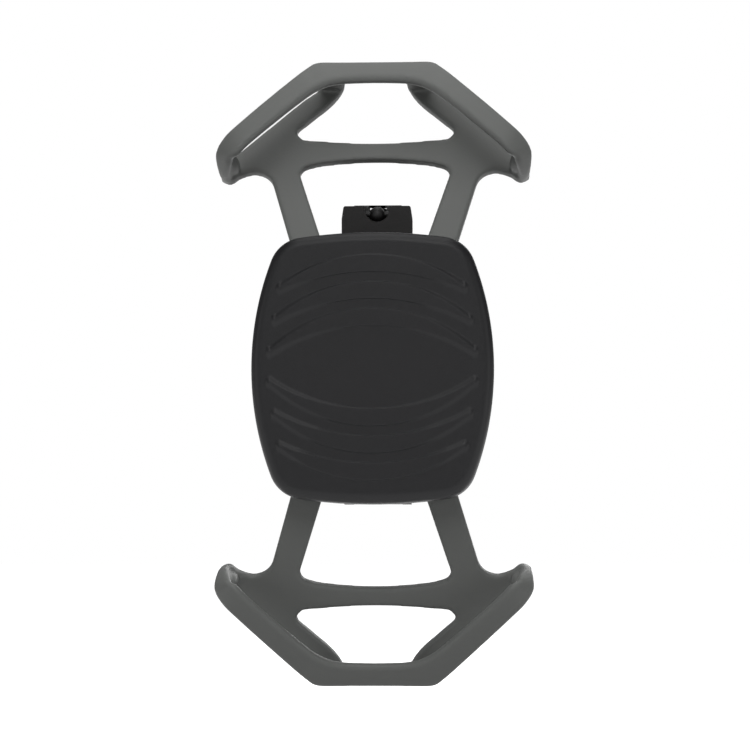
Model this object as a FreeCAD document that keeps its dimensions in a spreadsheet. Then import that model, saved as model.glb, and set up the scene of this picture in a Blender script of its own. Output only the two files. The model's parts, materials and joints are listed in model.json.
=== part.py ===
import FreeCAD, Part
import math
import os

import Sketcher

# Handlebar phone mount. A clamp grips a 31.8 mm bar, a head swivels on it, and a silicone
# moulding at each end of the head stretches over the corners of a phone.
# Frame: origin at the centre of the bar bore, +X along the bar, +Y to the rear, +Z up.
# The mount faces -Y. "Depth" below is the distance forward of the bar's axis, so y = -depth.

V = FreeCAD.Vector
MAX_NAME = 60

os.makedirs("parts", exist_ok=True)
doc = FreeCAD.newDocument("phone_mount")

DIMENSIONS = {
    # handlebar clamp
    "bar_radius": 15.9,
    "liner_wall": 1.6,
    "liner_width": 20.0,
    "saddle_wall": 3.0,
    "saddle_width": 22.0,
    "saddle_half_angle": 80.0,
    "lug_width": 18.7,
    "lug_front": 8.0,
    "lug_rear": 3.0,
    "lug_top": 45.0,
    "lug_taper_height": 3.4,
    "lug_taper_side": 0.5,
    "gusset_thickness": 6.0,
    "notch_radius": 3.25,
    "notch_bottom": 40.8,
    # hinge at the bottom of the clamp
    "hinge_drop": 29.9,
    "hinge_depth": 0.4,
    "hinge_pin_radius": 1.5,
    "hinge_clearance": 0.05,
    "ear_radius": 3.8,
    "ear_outer_width": 17.6,
    "ear_gap": 13.0,
    # swing bolt and wing nut
    "bolt_height": 43.1,
    "bolt_pivot_depth": 5.5,
    "bolt_radius": 2.0,
    "bolt_eye_radius": 2.05,
    "bolt_length": 24.0,
    "bolt_pin_radius": 0.75,
    "bolt_pin_length": 18.0,
    "washer_radius": 3.4,
    "washer_thickness": 0.8,
    "nut_hub_radius": 3.5,
    "nut_length": 7.4,
    "nut_wing_reach": 8.4,
    "nut_wing_thickness": 2.4,
    "nut_wing_setback": 1.6,
    "insert_radius": 2.6,
    # strap
    "strap_width": 12.6,
    "strap_wall": 2.5,
    "strap_front": 2.0,
    "strap_flange_rear": -1.6,
    "fork_rear": -4.0,
    "fork_bottom": 36.6,
    "fork_slot_radius": 2.3,
    "strap_knuckle_radius": 3.0,
    "strap_liner_width": 11.6,
    # swivel
    "turret_front": 23.2,
    "turret_radius": 14.0,
    "spigot_radius": 8.0,
    "spigot_front": 26.9,
    "swivel_clearance": 0.05,
    "bushing_wall": 1.2,
    "bushing_flange_radius": 12.5,
    "bushing_flange": 1.0,
    "detent_circle": 10.6,
    "detent_bump_radius": 1.1,
    "detent_bump_reach": 1.4,
    "detent_spring_thickness": 0.5,
    "retainer_radius": 12.6,
    "retainer_thickness": 1.5,
    "key_peg_radius": 1.0,
    "key_peg_offset": 5.2,
    "retainer_screw_radius": 1.5,
    "retainer_screw_head": 3.0,
    # head
    "head_half_width": 30.6,
    "head_half_height": 34.3,
    "head_side_radius": 77.0,
    "head_end_radius": 130.0,
    "head_corner_radius": 9.0,
    "head_rear": 23.5,
    "head_wall": 2.0,
    "housing_inset": 0.7,
    "housing_floor": 2.4,
    "housing_rear_round": 1.6,
    "arm_rear": 26.0,
    "arm_thickness": 3.0,
    "cover_rear": 29.1,
    "cover_shoulder": 35.5,
    "cover_front": 37.2,
    "cover_face_wall": 2.0,
    "plateau_inset": 1.3,
    "pad_gap": 0.1,
    "pad_front": 38.9,
    "pad_edge_round": 2.4,
    "band_front": 39.4,
    "band_count": 3,
    "boss_x": 16.0,
    "boss_z": 24.3,
    "boss_radius": 2.9,
    "boss_rear": 26.0,
    "screw_radius": 1.1,
    "screw_head_radius": 2.1,
    "screw_head_thickness": 1.3,
    "screw_length": 8.0,
    # silicone arms, drawn flat and then tilted back; "reach" is measured up the tilted arm
    "arm_tilt": 19.5,
    "arm_foot_depth": 27.5,
    "arm_foot_height": 29.0,
    "leg_start": -0.5,
    "leg_split": 18.0,
    "anchor_bottom": 20.0,
    "anchor_half_width": 20.6,
    "rim_lift": 14.3,
    "rim_side": 36.9,
    "rim_top": 46.4,
    "rim_diagonal_distance": 42.6,
    "rim_diagonal_angle": 45.8,
    "rim_bend": 5.0,
    "rim_start": 21.6,
    "rim_band_width": 7.2,
    "rim_band_thickness": 2.6,
    "rim_lean": 20.0,
    "corner_wall_lift": 13.0,
}

sheet = doc.addObject("Spreadsheet::Sheet", "dimensions")
for row, (alias, value) in enumerate(DIMENSIONS.items(), start=1):
    sheet.set(f"A{row}", alias)
    sheet.set(f"B{row}", str(value))
    sheet.setAlias(f"B{row}", alias)
doc.recompute()


def size(alias):
    """A driving dimension, read back from the sheet."""
    return float(sheet.get(alias))


# ---------------------------------------------------------------- sketch geometry

def line(start, end):
    return Part.LineSegment(V(start[0], start[1], 0), V(end[0], end[1], 0))


def circle(centre, radius):
    return Part.Circle(V(centre[0], centre[1], 0), V(0, 0, 1), radius)


def arc(centre, radius, start_deg, end_deg):
    return Part.ArcOfCircle(circle(centre, radius), math.radians(start_deg), math.radians(end_deg))


def short_arc(centre, radius, first, last):
    """The shorter arc about centre between two points on it."""
    start = math.atan2(first[1] - centre[1], first[0] - centre[0])
    end = math.atan2(last[1] - centre[1], last[0] - centre[0])
    if (end - start) % (2 * math.pi) > math.pi:
        start, end = end, start
    if end < start:
        end += 2 * math.pi
    return Part.ArcOfCircle(circle(centre, radius), start, end)


def rounded_polygon(corners, closed=True):
    """Lines and tangent arcs through corners, each given as (across, up, radius)."""
    points = [V(x, y, 0) for x, y, radius in corners]
    ways_in, ways_out, arcs = [], [], []
    for i, (x, y, radius) in enumerate(corners):
        inner = closed or 0 < i < len(corners) - 1
        if radius <= 0 or not inner:
            ways_in.append(points[i])
            ways_out.append(points[i])
            continue
        back = (points[i - 1] - points[i]).normalize()
        ahead = (points[(i + 1) % len(points)] - points[i]).normalize()
        half = back.getAngle(ahead) / 2
        reach = radius / math.tan(half)
        middle = points[i] + (back + ahead).normalize() * (radius / math.sin(half))
        ways_in.append(points[i] + back * reach)
        ways_out.append(points[i] + ahead * reach)
        arcs.append(short_arc(middle, radius, ways_in[i], ways_out[i]))
    spans = len(points) if closed else len(points) - 1
    lines = [line(ways_out[i], ways_in[(i + 1) % len(points)]) for i in range(spans)]
    return lines + arcs


def mirrored_polygon(half):
    """A closed polygon from its right half, listed from one end of the mirror line."""
    return half + [(-x, y, radius) for x, y, radius in reversed(half)]


def circles_meet(first, first_radius, second, second_radius):
    """The meeting point, on the positive side, of circles centred on the X and Z axes."""
    apart = second - first
    distance = apart.Length
    along = (first_radius**2 - second_radius**2 + distance**2) / (2 * distance)
    aside = math.sqrt(first_radius**2 - along**2)
    ahead = apart * (1 / distance)
    foot = first + ahead * along
    across = V(-ahead.y, ahead.x, 0)
    meets = [foot + across * aside, foot - across * aside]
    return max(meets, key=lambda point: point.x + point.y)


def head_outline(inset):
    """The head's outline: bulged sides and ends, all arcs, drawn in by inset."""
    half_width = size("head_half_width") - inset
    half_height = size("head_half_height") - inset
    side_radius = size("head_side_radius") - inset
    end_radius = size("head_end_radius") - inset
    corner_radius = max(size("head_corner_radius") - inset, 1.0)
    side_centre = V(half_width - side_radius, 0, 0)
    end_centre = V(0, half_height - end_radius, 0)
    corner = circles_meet(side_centre, side_radius - corner_radius,
                          end_centre, end_radius - corner_radius)
    on_side = side_centre + (corner - side_centre).normalize() * side_radius
    on_end = end_centre + (corner - end_centre).normalize() * end_radius

    def turned(point, x_sign, z_sign):
        return V(point.x * x_sign, point.y * z_sign, 0)

    edges = []
    for sign in (1, -1):
        edges.append(short_arc(turned(side_centre, sign, 1), side_radius,
                               turned(on_side, sign, -1), turned(on_side, sign, 1)))
        edges.append(short_arc(turned(end_centre, 1, sign), end_radius,
                               turned(on_end, 1, sign), turned(on_end, -1, sign)))
        for other in (1, -1):
            edges.append(short_arc(turned(corner, sign, other), corner_radius,
                                   turned(on_side, sign, other), turned(on_end, sign, other)))
    return edges


# ---------------------------------------------------------------- document objects

def add_body(label):
    body = doc.addObject("PartDesign::Body", label)
    body.Label = label
    return body


def origin_plane(body, role):
    return next(item for item in body.Origin.OriginFeatures if item.Role == role)


def add_sketch(body, name, role, geometry, offset=None):
    """FRONT faces -Y and reads (x, z); SIDE faces +X and reads (y, z); TOP faces +Z."""
    sketch = body.newObject("Sketcher::SketchObject", name)
    sketch.AttachmentSupport = (origin_plane(body, role), [""])
    sketch.MapMode = "FlatFace"
    if offset is not None:
        sketch.setExpression("AttachmentOffset.Base.z", offset)
    sketch.addGeometry(geometry, False)
    return sketch


FRONT, SIDE, TOP = "XZ_Plane", "YZ_Plane", "XY_Plane"


def bind_radius(sketch, index, expression):
    number = sketch.addConstraint(Sketcher.Constraint("Radius", index, sketch.Geometry[index].Radius))
    sketch.setExpression(f"Constraints[{number}]", expression)


def add_pad(body, name, sketch, length, symmetric=False, backward=False):
    pad = body.newObject("PartDesign::Pad", name)
    pad.Profile = sketch
    pad.setExpression("Length", length)
    pad.SideType = "Symmetric" if symmetric else "One side"
    pad.Reversed = backward
    return pad


def add_cut(body, name, sketch, length, symmetric=False, backward=False):
    """Cuts along the sketch's normal, or against it when backward."""
    volume = solid_volume(body)
    pocket = body.newObject("PartDesign::Pocket", name)
    pocket.Profile = sketch
    pocket.setExpression("Length", length)
    pocket.SideType = "Symmetric" if symmetric else "One side"
    pocket.Reversed = not backward
    if solid_volume(body) >= volume:
        raise RuntimeError(f"{name} cuts nothing")
    return pocket


def solid_volume(body):
    doc.recompute()
    return body.Shape.Volume


def round_outline(body, name, depth, radius):
    """Rounds the outline, the longest closed run of edges at that depth."""
    doc.recompute()
    base = body.Tip
    flat_faces = [face for face in body.Shape.Faces
                  if abs(face.BoundBox.YMin + depth) < 1e-4 and abs(face.BoundBox.YMax + depth) < 1e-4]
    outline = max(flat_faces, key=lambda face: face.OuterWire.BoundBox.DiagonalLength).OuterWire
    names = [f"Edge{i}" for i, edge in enumerate(body.Shape.Edges, start=1)
             if any(edge.isSame(other) for other in outline.Edges)]
    fillet = body.newObject("PartDesign::Fillet", name)
    fillet.Base = (base, names)
    fillet.setExpression("Radius", radius)
    return fillet


def add_cylinder(name, radius, height, placement):
    """A Part cylinder whose sizes are expressions."""
    cylinder = doc.addObject("Part::Cylinder", name)
    cylinder.Label = name
    cylinder.setExpression("Radius", radius)
    cylinder.setExpression("Height", height)
    cylinder.Placement = placement
    return cylinder


def across_bar(half_length, depth, height):
    """A placement that turns a cylinder to lie along X, centred on x = 0."""
    return FreeCAD.Placement(V(-half_length, -depth, height), FreeCAD.Rotation(V(0, 1, 0), 90))


def facing_front(x, depth, z):
    """A placement that turns a cylinder to point forward from that depth."""
    return FreeCAD.Placement(V(x, -depth, z), FreeCAD.Rotation(V(1, 0, 0), 90))


def ring_sector(inner, outer, start_deg, end_deg):
    """An annular sector about the bar's axis, as seen in (y, z)."""
    def at(radius, angle):
        return (radius * math.cos(math.radians(angle)), radius * math.sin(math.radians(angle)))
    return [arc((0, 0), inner, start_deg, end_deg), arc((0, 0), outer, start_deg, end_deg),
            line(at(inner, start_deg), at(outer, start_deg)), line(at(inner, end_deg), at(outer, end_deg))]


nodes = {}
bore_radius = size("bar_radius") + size("liner_wall")
saddle_radius = bore_radius + size("saddle_wall")
strap_radius = bore_radius + size("strap_wall")
hinge_axis = (-size("hinge_depth"), -size("hinge_drop"))
bolt_axis = (-size("bolt_pivot_depth"), size("bolt_height"))
boss_places = [(x * size("boss_x"), z * size("boss_z")) for x in (1, -1) for z in (1, -1)]


# ---------------------------------------------------------------- clamp: fixed to the bar

def make_clamp_base():
    """The front half of the bar clamp, with the turret, the lug on top and the hinge ears."""
    body = add_body("clamp_base")
    half_angle = size("saddle_half_angle")
    add_pad(body, "saddle",
            add_sketch(body, "saddle_section", SIDE,
                       ring_sector(bore_radius, saddle_radius, 180 - half_angle, 180 + half_angle)),
            "dimensions.saddle_width", symmetric=True)

    turret = add_sketch(body, "turret_circle", FRONT, [circle((0, 0), size("turret_radius"))],
                        "dimensions.bar_radius + dimensions.liner_wall + 0.1")
    bind_radius(turret, 0, "dimensions.turret_radius")
    add_pad(body, "turret", turret,
            "dimensions.turret_front - dimensions.bar_radius - dimensions.liner_wall - 0.1")
    spigot = add_sketch(body, "spigot_circle", FRONT, [circle((0, 0), size("spigot_radius"))],
                        "dimensions.turret_front")
    bind_radius(spigot, 0, "dimensions.spigot_radius")
    add_pad(body, "spigot", spigot, "dimensions.spigot_front - dimensions.turret_front")
    peg_places = [(x * size("key_peg_offset"), 0) for x in (1, -1)]
    pegs = add_sketch(body, "key_peg_circles", FRONT,
                      [circle(place, size("key_peg_radius")) for place in peg_places],
                      "dimensions.spigot_front")
    add_pad(body, "key_pegs", pegs,
            "dimensions.detent_spring_thickness + dimensions.retainer_thickness")

    half_width = size("lug_width") / 2
    top = size("lug_top")
    shoulder = top - size("lug_taper_height")
    tip_width = half_width - size("lug_taper_side")
    lug_foot = bore_radius
    lug = [(half_width, lug_foot, 0), (half_width, shoulder, 2), (tip_width, top, 0.6)]
    add_pad(body, "lug", add_sketch(body, "lug_outline", FRONT,
                                    rounded_polygon(mirrored_polygon(lug)), "dimensions.lug_rear"),
            "dimensions.lug_front - dimensions.lug_rear")

    front, rear = -size("turret_front"), -size("lug_front") + 0.5
    gusset = [(rear, 37.0, 0), (rear, 17.0, 0), (-17.0, 9.5, 0), (front + 0.8, 8.5, 0),
              (front + 0.8, 12.0, 1)]
    add_pad(body, "gusset", add_sketch(body, "gusset_outline", SIDE, rounded_polygon(gusset)),
            "dimensions.gusset_thickness", symmetric=True)

    ear = size("ear_radius")
    y, z = hinge_axis
    ears = [(y + ear, z - ear, ear - 0.01), (-size("lug_front"), z - ear, ear - 0.01),
            (-size("lug_front"), -16.0, 0), (-size("lug_rear"), -17.8, 0),
            (-size("lug_rear"), z + 6.5, 1.5), (y + ear, z + 5.0, 2.0)]
    add_pad(body, "ears", add_sketch(body, "ear_outline", SIDE, rounded_polygon(ears)),
            "dimensions.ear_outer_width", symmetric=True)
    relief_radius = size("strap_knuckle_radius") + 0.4
    relief_top = -bore_radius - 0.5
    relief = [(y + 6.0, z - 6.0, 0), (y - relief_radius, z - 6.0, 0),
              (y - relief_radius, z + relief_radius, 1.5),
              (-size("lug_rear") + 0.3, z + relief_radius + 2.0, 0),
              (-size("lug_rear") + 0.3, relief_top, 0), (y + 6.0, relief_top, 0)]
    add_cut(body, "ear_gap_cut", add_sketch(body, "ear_gap_outline", SIDE, rounded_polygon(relief)),
            "dimensions.ear_gap", symmetric=True)

    hinge_hole = add_sketch(body, "hinge_hole_circle", SIDE, [circle(hinge_axis, size("hinge_pin_radius"))])
    bind_radius(hinge_hole, 0, "dimensions.hinge_pin_radius")
    add_cut(body, "hinge_hole", hinge_hole, "dimensions.ear_outer_width + 2", symmetric=True)
    pin_hole = add_sketch(body, "bolt_pin_circle", SIDE, [circle(bolt_axis, size("bolt_pin_radius"))])
    bind_radius(pin_hole, 0, "dimensions.bolt_pin_radius")
    add_cut(body, "bolt_pin_hole", pin_hole, "dimensions.bolt_pin_length", symmetric=True)

    radius = size("notch_radius")
    notch_centre = size("notch_bottom") + radius
    notch = [arc((0, notch_centre), radius, 180, 360), line((-radius, notch_centre), (-radius, top + 1)),
             line((radius, notch_centre), (radius, top + 1)), line((-radius, top + 1), (radius, top + 1))]
    add_cut(body, "bolt_notch", add_sketch(body, "notch_outline", FRONT, notch, "dimensions.lug_rear - 1"),
            "dimensions.lug_front - dimensions.lug_rear + 2")
    screw_hole = add_sketch(body, "retainer_hole_circle", FRONT,
                            [circle((0, 0), size("retainer_screw_radius"))], "dimensions.spigot_front")
    bind_radius(screw_hole, 0, "dimensions.retainer_screw_radius")
    add_cut(body, "retainer_hole", screw_hole, "7", backward=True)
    nodes["clamp_base"] = body


def make_liner(label, start_deg, end_deg, width):
    """A rubber lining on the inside of one half of the clamp."""
    body = add_body(label)
    add_pad(body, f"{label}_ring",
            add_sketch(body, f"{label}_section", SIDE,
                       ring_sector(size("bar_radius"), bore_radius, start_deg, end_deg)),
            width, symmetric=True)
    nodes[label] = body


def make_pins():
    """The hinge pin at the bottom and the swing bolt's pivot pin at the top."""
    pin = add_cylinder("hinge_pin", "dimensions.hinge_pin_radius", "dimensions.ear_outer_width",
                       across_bar(size("ear_outer_width") / 2, -hinge_axis[0], hinge_axis[1]))
    nodes["hinge_pin"] = pin
    pin = add_cylinder("bolt_pivot_pin", "dimensions.bolt_pin_radius", "dimensions.bolt_pin_length",
                       across_bar(size("bolt_pin_length") / 2, -bolt_axis[0], bolt_axis[1]))
    nodes["bolt_pivot_pin"] = pin


def make_swivel_parts():
    """The detent leaf spring, the retainer disc and its screw, all fixed on the turret."""
    peg_places = [(x * size("key_peg_offset"), 0) for x in (1, -1)]
    holes = [circle(place, size("key_peg_radius")) for place in peg_places]
    holes.append(circle((0, 0), size("retainer_screw_radius") + 0.2))

    spring = add_body("detent_spring")
    disc = add_sketch(spring, "spring_disc_circle", FRONT,
                      [circle((0, 0), size("retainer_radius"))] + holes, "dimensions.spigot_front")
    add_pad(spring, "spring_disc", disc, "dimensions.detent_spring_thickness")
    bump = add_sketch(spring, "detent_bump_circle", FRONT,
                      [circle((size("detent_circle"), 0), size("detent_bump_radius"))],
                      "dimensions.spigot_front")
    bump_pad = add_pad(spring, "detent_bump", bump, "dimensions.detent_bump_reach", backward=True)
    doc.recompute()
    ring = spring.newObject("PartDesign::PolarPattern", "detent_bumps")
    ring.Originals = [bump_pad]
    ring.Axis = (bump, ["N_Axis"])
    ring.Angle = 360
    ring.Occurrences = 4
    spring.Tip = ring
    nodes["detent_spring"] = spring

    retainer = add_body("swivel_retainer")
    disc = add_sketch(retainer, "retainer_circle", FRONT,
                      [circle((0, 0), size("retainer_radius"))] + holes,
                      "dimensions.spigot_front + dimensions.detent_spring_thickness")
    bind_radius(disc, 0, "dimensions.retainer_radius")
    add_pad(retainer, "retainer_disc", disc, "dimensions.retainer_thickness")
    nodes["swivel_retainer"] = retainer

    seat = size("spigot_front") + size("detent_spring_thickness") + size("retainer_thickness")
    shank_end = size("spigot_front") - 6.5
    screw = add_body("retainer_screw")
    head, shank = size("retainer_screw_head"), size("retainer_screw_radius")
    profile = [(0, -shank_end, 0), (shank, -shank_end, 0.3), (shank, -seat, 0), (head, -seat, 0),
               (head, -seat - 1.8, 0.9), (0, -seat - 1.8, 0)]
    add_revolution(screw, "retainer_screw_turned", profile)
    hexagon = [(1.2 * math.cos(math.radians(60 * i)), 1.2 * math.sin(math.radians(60 * i)), 0)
               for i in range(6)]
    socket = add_sketch(screw, "retainer_screw_hexagon", FRONT, rounded_polygon(hexagon), f"{seat} + 1.8")
    add_cut(screw, "retainer_screw_socket", socket, "1.2", backward=True)
    nodes["retainer_screw"] = screw


def add_revolution(body, name, profile):
    """Turns a profile of (radius, y, corner radius) about the Y axis."""
    sketch = body.newObject("Sketcher::SketchObject", f"{name}_profile")
    sketch.AttachmentSupport = (origin_plane(body, TOP), [""])
    sketch.MapMode = "FlatFace"
    sketch.addGeometry(rounded_polygon(profile), False)
    turned = body.newObject("PartDesign::Revolution", name)
    turned.Profile = sketch
    turned.ReferenceAxis = (sketch, ["V_Axis"])
    turned.Angle = 360
    return turned


# ---------------------------------------------------------------- strap, bolt and wing nut

def make_bar_strap():
    """The flexible rear half of the clamp: a knuckle, a band round the bar and a forked end."""
    body = add_body("bar_strap")
    front, rear = -size("strap_front"), -size("strap_flange_rear")
    reach = math.degrees(math.acos(front / (bore_radius + 0.4)))
    add_pad(body, "band", add_sketch(body, "band_section", SIDE,
                                     ring_sector(bore_radius, strap_radius, -reach, reach)),
            "dimensions.strap_width", symmetric=True)
    fork_top = size("lug_top") + 1.1
    flange = [(front, bore_radius + 0.1, 0), (rear, bore_radius + 0.1, 0), (rear, size("fork_bottom") - 3, 1),
              (-size("fork_rear"), size("fork_bottom"), 1), (-size("fork_rear"), fork_top, 0.8),
              (front, fork_top, 0.8)]
    add_pad(body, "fork", add_sketch(body, "fork_outline", SIDE, rounded_polygon(flange)),
            "dimensions.strap_width", symmetric=True)
    y, z = hinge_axis
    stub = [(front, -bore_radius - 0.1, 0), (front, z, 0), (rear - 0.4, z, 0),
            (rear - 0.4, -bore_radius - 0.1, 0)]
    add_pad(body, "stub", add_sketch(body, "stub_outline", SIDE, rounded_polygon(stub)),
            "dimensions.strap_width", symmetric=True)
    knuckle = add_sketch(body, "knuckle_circle", SIDE, [circle(hinge_axis, size("strap_knuckle_radius"))])
    bind_radius(knuckle, 0, "dimensions.strap_knuckle_radius")
    add_pad(body, "knuckle", knuckle, "dimensions.strap_width", symmetric=True)
    bore = add_sketch(body, "knuckle_bore_circle", SIDE,
                      [circle(hinge_axis, size("hinge_pin_radius") + size("hinge_clearance"))])
    bind_radius(bore, 0, "dimensions.hinge_pin_radius + dimensions.hinge_clearance")
    add_cut(body, "knuckle_bore", bore, "dimensions.strap_width + 2", symmetric=True)

    radius = size("fork_slot_radius")
    height, top = size("bolt_height"), size("lug_top") + 1
    slot = [arc((0, height), radius, 180, 360), line((-radius, height), (-radius, top)),
            line((radius, height), (radius, top)), line((-radius, top), (radius, top))]
    add_cut(body, "fork_slot", add_sketch(body, "slot_outline", FRONT, slot, "dimensions.fork_rear - 1"),
            "dimensions.strap_front - dimensions.fork_rear + 2")
    nodes["bar_strap"] = body


def make_swing_bolt():
    """The M4 bolt that swings up on its pivot pin: a ball eye and a threaded shank."""
    y, z = bolt_axis
    eye = doc.addObject("Part::Sphere", "bolt_eye")
    eye.setExpression("Radius", "dimensions.bolt_eye_radius")
    eye.Placement.Base = V(0, y, z)
    shank = add_cylinder("bolt_shank", "dimensions.bolt_radius", "dimensions.bolt_length",
                         FreeCAD.Placement(V(0, y, z), FreeCAD.Rotation(V(1, 0, 0), -90)))
    whole = doc.addObject("Part::Fuse", "bolt_whole")
    whole.Base, whole.Tool = eye, shank
    hole = add_cylinder("bolt_eye_hole", "dimensions.bolt_pin_radius + dimensions.hinge_clearance",
                        "dimensions.lug_width", across_bar(size("lug_width") / 2, -y, z))
    bolt = doc.addObject("Part::Cut", "swing_bolt")
    bolt.Label = "swing_bolt"
    bolt.Base, bolt.Tool = whole, hole
    nodes["swing_bolt"] = bolt


def make_washer_and_nut():
    """The washer behind the fork, the winged grip and its threaded brass insert."""
    height = size("bolt_height")
    fork_rear = -size("fork_rear")
    bore = size("bolt_radius") + 0.1
    washer = add_body("clamp_washer")
    ring = add_sketch(washer, "washer_circles", FRONT,
                      [circle((0, height), size("washer_radius")), circle((0, height), bore)],
                      "dimensions.fork_rear - 0.05")
    add_pad(washer, "washer_ring", ring, "dimensions.washer_thickness", backward=True)
    nodes["clamp_washer"] = washer

    nut_front = fork_rear + size("washer_thickness") + 0.1
    nut = add_body("wing_nut")
    hub = add_sketch(nut, "nut_hub_circle", FRONT, [circle((0, height), size("nut_hub_radius"))],
                     f"{-nut_front}")
    bind_radius(hub, 0, "dimensions.nut_hub_radius")
    add_pad(nut, "nut_hub", hub, "dimensions.nut_length", backward=True)
    reach, thick = size("nut_wing_reach"), size("nut_wing_thickness")
    wing_front, wing_rear = nut_front + size("nut_wing_setback"), nut_front + size("nut_length") + 0.8
    wing = [(1.0, -wing_front - 1.0, 0), (reach, -wing_front, 1.6), (reach, -wing_rear, 2.2),
            (5.2, -wing_rear, 1.2), (3.2, -wing_rear + 1.8, 0), (1.0, -wing_rear + 1.8, 0)]
    for number, side in enumerate((1, -1), start=1):
        corners = [(side * x, -y, radius) for x, y, radius in wing]
        add_pad(nut, f"wing_{number}", add_sketch(nut, f"wing_outline_{number}", TOP,
                                                  rounded_polygon(corners), "dimensions.bolt_height"),
                "dimensions.nut_wing_thickness", symmetric=True)
    bore_sketch = add_sketch(nut, "insert_bore_circle", FRONT, [circle((0, height), size("insert_radius"))],
                             f"{-nut_front} + 1")
    bind_radius(bore_sketch, 0, "dimensions.insert_radius")
    add_cut(nut, "insert_bore", bore_sketch, "dimensions.nut_length + 3", backward=True)
    nodes["wing_nut"] = nut

    insert = add_body("wing_nut_insert")
    tube = add_sketch(insert, "insert_circles", FRONT,
                      [circle((0, height), size("insert_radius")),
                       circle((0, height), size("bolt_radius") + size("hinge_clearance"))],
                      f"{-nut_front}")
    add_pad(insert, "insert_tube", tube, "dimensions.nut_length", backward=True)
    nodes["wing_nut_insert"] = insert


# ---------------------------------------------------------------- head: turns on the turret

def make_rear_housing():
    """The rear shell of the head, with the bushing bore, the screw seats and the leg notches."""
    body = add_body("rear_housing")
    inset = size("housing_inset")
    add_pad(body, "housing_block", add_sketch(body, "housing_outline", FRONT, head_outline(inset),
                                              "dimensions.head_rear"),
            "dimensions.cover_rear - dimensions.head_rear - 0.1")
    round_outline(body, "housing_rear_edge", size("head_rear"), "dimensions.housing_rear_round")
    add_cut(body, "housing_cavity",
            add_sketch(body, "housing_cavity_outline", FRONT, head_outline(inset + size("head_wall")),
                       "dimensions.head_rear + dimensions.housing_floor"), "10")
    for end, sign in (("upper", 1), ("lower", -1)):
        for hand, side in (("right", 1), ("left", -1)):
            corners = [(side * x, sign * (size("arm_foot_height") + reach), 0)
                       for x, reach in leg_edges(-0.1, 6.0, 0.3)]
            add_cut(body, f"leg_notch_{end}_{hand}",
                    add_sketch(body, f"leg_notch_outline_{end}_{hand}", FRONT, rounded_polygon(corners),
                               "dimensions.head_rear - 1"), "10")
    bore = size("spigot_radius") + size("swivel_clearance") + size("bushing_wall")
    bore_sketch = add_sketch(body, "bushing_bore_circle", FRONT, [circle((0, 0), bore)],
                             "dimensions.head_rear - 1")
    bind_radius(bore_sketch, 0,
                "dimensions.spigot_radius + dimensions.swivel_clearance + dimensions.bushing_wall")
    add_cut(body, "bushing_bore", bore_sketch, "dimensions.housing_floor + 2")
    recess = add_sketch(body, "bushing_recess_circle", FRONT, [circle((0, 0), size("bushing_flange_radius"))],
                        "dimensions.head_rear + dimensions.bushing_flange - 0.2")
    bind_radius(recess, 0, "dimensions.bushing_flange_radius")
    add_cut(body, "bushing_recess", recess, "dimensions.bushing_flange", backward=True)
    dimples = [circle((size("detent_circle") * math.cos(i * math.pi / 2),
                       size("detent_circle") * math.sin(i * math.pi / 2)),
                      size("detent_bump_radius") + 0.15) for i in range(4)]
    add_cut(body, "detent_dimples", add_sketch(body, "dimple_circles", FRONT, dimples,
                                               "dimensions.head_rear + dimensions.housing_floor"),
            "0.6", backward=True)
    holes = [circle(place, size("screw_radius") + 0.2) for place in boss_places]
    add_cut(body, "screw_holes", add_sketch(body, "screw_hole_circles", FRONT, holes,
                                            "dimensions.head_rear"), "5")
    seats = [circle(place, size("screw_head_radius") + 0.2) for place in boss_places]
    add_cut(body, "screw_seats", add_sketch(body, "screw_seat_circles", FRONT, seats,
                                            "dimensions.head_rear"), "dimensions.screw_head_thickness")
    nodes["rear_housing"] = body


def make_swivel_bushing():
    """The acetal sleeve and flange that run on the turret's spigot."""
    body = add_body("swivel_bushing")
    inner = size("spigot_radius") + size("swivel_clearance")
    outer = inner + size("bushing_wall")
    flange_rear = size("head_rear") - 0.2
    flange_front = flange_rear + size("bushing_flange")
    tip = size("head_rear") + size("housing_floor")
    profile = [(inner, -flange_rear, 0), (size("bushing_flange_radius"), -flange_rear, 0),
               (size("bushing_flange_radius"), -flange_front, 0), (outer, -flange_front, 0),
               (outer, -tip, 0), (inner, -tip, 0)]
    add_revolution(body, "bushing_turned", profile)
    nodes["swivel_bushing"] = body


def make_front_cover():
    """The front shell of the head: a shallow dish, a plateau that the pad caps and four screw bosses."""
    body = add_body("front_cover")
    add_pad(body, "cover_block", add_sketch(body, "cover_outline", FRONT, head_outline(0),
                                            "dimensions.cover_rear"),
            "dimensions.cover_shoulder - dimensions.cover_rear")
    add_pad(body, "plateau", add_sketch(body, "plateau_outline", FRONT, head_outline(size("plateau_inset")),
                                        "dimensions.cover_shoulder"),
            "dimensions.cover_front - dimensions.cover_shoulder")
    add_cut(body, "cover_cavity",
            add_sketch(body, "cover_cavity_outline", FRONT, head_outline(size("head_wall") + 0.7),
                       "dimensions.cover_rear - 1"),
            "dimensions.cover_front - dimensions.cover_face_wall - dimensions.cover_rear + 1")
    bosses = add_sketch(body, "boss_circles", FRONT,
                        [circle(place, size("boss_radius")) for place in boss_places],
                        "dimensions.cover_front - dimensions.cover_face_wall + 0.2")
    add_pad(body, "bosses", bosses,
            "dimensions.cover_front - dimensions.cover_face_wall + 0.2 - dimensions.boss_rear", backward=True)
    holes = [circle(place, size("screw_radius")) for place in boss_places]
    pilots = add_sketch(body, "pilot_circles", FRONT, holes, "dimensions.boss_rear")
    add_cut(body, "pilot_holes", pilots, "dimensions.screw_length")
    nodes["front_cover"] = body


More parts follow.
